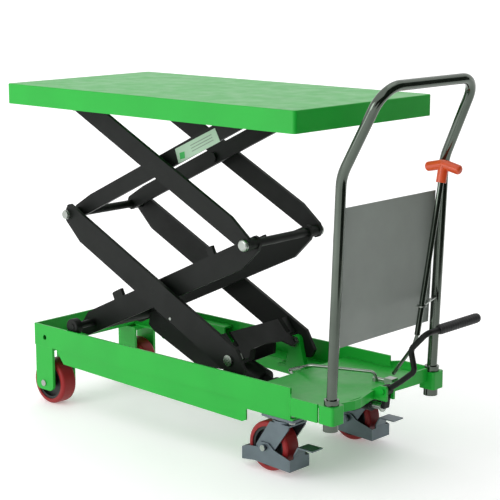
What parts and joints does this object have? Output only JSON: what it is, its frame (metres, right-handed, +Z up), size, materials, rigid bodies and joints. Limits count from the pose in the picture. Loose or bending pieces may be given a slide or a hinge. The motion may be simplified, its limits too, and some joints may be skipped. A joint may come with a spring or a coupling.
{
  "type": "scissor lift table",
  "caption": "Double-scissor hydraulic lift table with a green platform and frame, black arms, red wheels, a chrome push handle with a guard sheet, a foot pedal and a release knob.",
  "frame": {"origin": "on the floor under the middle of the machine", "axes": "+X towards the push handle, +Y to the far side, +Z up"},
  "size_m": [1.237, 0.52, 0.9665],
  "materials": {
    "green_paint": "semi-gloss green powder coat",
    "black_paint": "satin black powder coat",
    "chrome": "polished chrome plate",
    "zinc": "bright zinc plate",
    "grey_paint": "satin grey paint",
    "caster_steel": "blue-grey zinc plated sheet",
    "red_tread": "satin red polyurethane",
    "black_core": "matt black moulded core",
    "red_knob": "satin orange-red plastic",
    "grip_rubber": "matt black ribbed rubber"
  },
  "bodies": {
    "base": {"near_rail": "green_paint", "far_rail": "green_paint", "front_beam": "green_paint", "rear_beam": "green_paint", "deck_plate": "green_paint", "handle_sockets": "green_paint", "handle_sleeves": "chrome", "handle_tube": "chrome", "guard_panel": "grey_paint", "base_brackets": "green_paint", "wheel_brackets": "green_paint", "front_axles": "zinc", "caster_plates": "caster_steel", "caster_bolts": "zinc", "pump_body": "black_paint", "pressure_pipe": "zinc", "pedal_hinge": "green_paint", "rod_guide": "zinc"},
    "lower_outer": {"near_lower_outer_arm": "black_paint", "far_lower_outer_arm": "black_paint", "lower_cross_plate": "black_paint", "push_shaft": "zinc", "base_pivot_bolts": "chrome", "mid_left_shaft": "zinc", "lower_centre_bolts": "black_paint"},
    "lower_inner": {"near_lower_inner_arm": "black_paint", "far_lower_inner_arm": "black_paint", "roller_cross_tube": "black_paint", "mid_right_shaft": "chrome"},
    "upper_inner": {"near_upper_inner_arm": "black_paint", "far_upper_inner_arm": "black_paint", "upper_inner_bolts": "zinc"},
    "upper_outer": {"near_upper_outer_arm": "black_paint", "far_upper_outer_arm": "black_paint", "top_roller_pins": "zinc"},
    "platform": {"platform_deck": "green_paint", "platform_channels": "green_paint"},
    "cylinder": {"cylinder_barrel": "black_paint"},
    "rod": {"piston_rod": "chrome"},
    "pedal": {"pedal_bar": "black_paint", "pedal_grip": "grip_rubber"},
    "plunger": {"pump_plunger": "zinc"},
    "release": {"release_rod": "chrome", "release_knob": "red_knob"},
    "near_base_roller": {"near_base_roller": "black_paint"},
    "near_top_roller": {"near_top_roller": "zinc"},
    "near_front_wheel": {"near_front_tyre": "red_tread", "near_front_hub": "black_core"},
    "near_caster": {"near_caster_fork": "caster_steel"},
    "near_caster_wheel": {"near_caster_tyre": "red_tread", "near_caster_hub": "black_core"},
    "near_brake": {"near_caster_brake": "caster_steel"},
    "far_base_roller": {"far_base_roller": "black_paint"},
    "far_top_roller": {"far_top_roller": "zinc"},
    "far_front_wheel": {"far_front_tyre": "red_tread", "far_front_hub": "black_core"},
    "far_caster": {"far_caster_fork": "caster_steel"},
    "far_caster_wheel": {"far_caster_tyre": "red_tread", "far_caster_hub": "black_core"},
    "far_brake": {"far_caster_brake": "caster_steel"}
  },
  "joints": [
    {"name": "lift", "type": "hinge", "parent": "base", "child": "lower_outer", "pos_m": [0.0945, 0, 0.238], "axis": [0, 1, 0], "range_deg": [-19.5, 29.9]},
    {"name": "mid_left_pivot", "type": "hinge", "parent": "lower_outer", "child": "upper_inner", "pos_m": [-0.50311, 0, 0.53804], "axis": [0, 1, 0], "range_deg": [-59.9, 39.1]},
    {"name": "lower_cross_pivot", "type": "hinge", "parent": "lower_outer", "child": "lower_inner", "pos_m": [-0.17807, 0, 0.37485], "axis": [0, 1, 0], "range_deg": [-59.9, 39.1]},
    {"name": "upper_cross_pivot", "type": "hinge", "parent": "upper_inner", "child": "upper_outer", "pos_m": [-0.17807, 0, 0.70123], "axis": [0, 1, 0], "range_deg": [-39.1, 59.9]},
    {"name": "platform_pivot", "type": "hinge", "parent": "upper_inner", "child": "platform", "pos_m": [0.0945, 0, 0.83808], "axis": [0, 1, 0], "range_deg": [-19.6, 30]},
    {"name": "cylinder_pivot", "type": "hinge", "parent": "base", "child": "cylinder", "pos_m": [0.1175, 0, 0.146], "axis": [0, 1, 0], "range_deg": [-16.8, 25.7]},
    {"name": "rod_slide", "type": "slide", "parent": "cylinder", "child": "rod", "axis": [-0.9598, 0, 0.2808], "range_m": [-0.0263, 0.0402]},
    {"name": "pedal_hinge", "type": "hinge", "parent": "base", "child": "pedal", "pos_m": [0.4935, -0.014, 0.214], "axis": [0, 1, 0], "range_deg": [0, 18], "stiffness_Nm_per_rad": 6, "springref_deg": -28.65},
    {"name": "plunger_slide", "type": "slide", "parent": "base", "child": "plunger", "axis": [-1, 0, 0], "range_m": [0, 0.0138]},
    {"name": "release_pull", "type": "slide", "parent": "base", "child": "release", "axis": [0, 0.2236, 0.9747], "range_m": [0, 0.01], "stiffness_N_per_m": 3000, "springref_m": -0.008},
    {"name": "near_base_roller_spin", "type": "hinge", "parent": "lower_inner", "child": "near_base_roller", "pos_m": [-0.45065, -0.173, 0.238], "axis": [0, 1, 0], "continuous": true},
    {"name": "near_top_roller_spin", "type": "hinge", "parent": "upper_outer", "child": "near_top_roller", "pos_m": [-0.45065, -0.153, 0.83808], "axis": [0, 1, 0], "continuous": true},
    {"name": "near_front_wheel_spin", "type": "hinge", "parent": "base", "child": "near_front_wheel", "pos_m": [-0.5575, -0.156, 0.0625], "axis": [0, 1, 0], "continuous": true},
    {"name": "near_caster_swivel", "type": "hinge", "parent": "base", "child": "near_caster", "pos_m": [0.3035, -0.16, 0.134], "axis": [0, 0, 1], "continuous": true},
    {"name": "near_caster_wheel_spin", "type": "hinge", "parent": "near_caster", "child": "near_caster_wheel", "pos_m": [0.2635, -0.16, 0.0625], "axis": [0, 1, 0], "continuous": true},
    {"name": "near_brake_pedal", "type": "hinge", "parent": "near_caster", "child": "near_brake", "pos_m": [0.2635, -0.16, 0.0625], "axis": [0, 1, 0], "range_deg": [0, 7]},
    {"name": "far_base_roller_spin", "type": "hinge", "parent": "lower_inner", "child": "far_base_roller", "pos_m": [-0.45065, 0.173, 0.238], "axis": [0, 1, 0], "continuous": true},
    {"name": "far_top_roller_spin", "type": "hinge", "parent": "upper_outer", "child": "far_top_roller", "pos_m": [-0.45065, 0.153, 0.83808], "axis": [0, 1, 0], "continuous": true},
    {"name": "far_front_wheel_spin", "type": "hinge", "parent": "base", "child": "far_front_wheel", "pos_m": [-0.5575, 0.156, 0.0625], "axis": [0, 1, 0], "continuous": true},
    {"name": "far_caster_swivel", "type": "hinge", "parent": "base", "child": "far_caster", "pos_m": [0.3035, 0.16, 0.134], "axis": [0, 0, 1], "continuous": true},
    {"name": "far_caster_wheel_spin", "type": "hinge", "parent": "far_caster", "child": "far_caster_wheel", "pos_m": [0.2635, 0.16, 0.0625], "axis": [0, 1, 0], "continuous": true},
    {"name": "far_brake_pedal", "type": "hinge", "parent": "far_caster", "child": "far_brake", "pos_m": [0.2635, 0.16, 0.0625], "axis": [0, 1, 0], "range_deg": [0, 7]}
  ],
  "couplings": [
    {"joint": "mid_left_pivot", "follows": "lift", "ratio": -2},
    {"joint": "lower_cross_pivot", "follows": "lift", "ratio": -2},
    {"joint": "upper_cross_pivot", "follows": "lift", "ratio": 2},
    {"joint": "platform_pivot", "follows": "lift", "ratio": 1},
    {"joint": "cylinder_pivot", "follows": "lift", "ratio": 0.857},
    {"joint": "rod_slide", "follows": "lift", "m_per_rad": 0.0768},
    {"joint": "plunger_slide", "follows": "pedal_hinge", "m_per_rad": 0.0435}
  ]
}
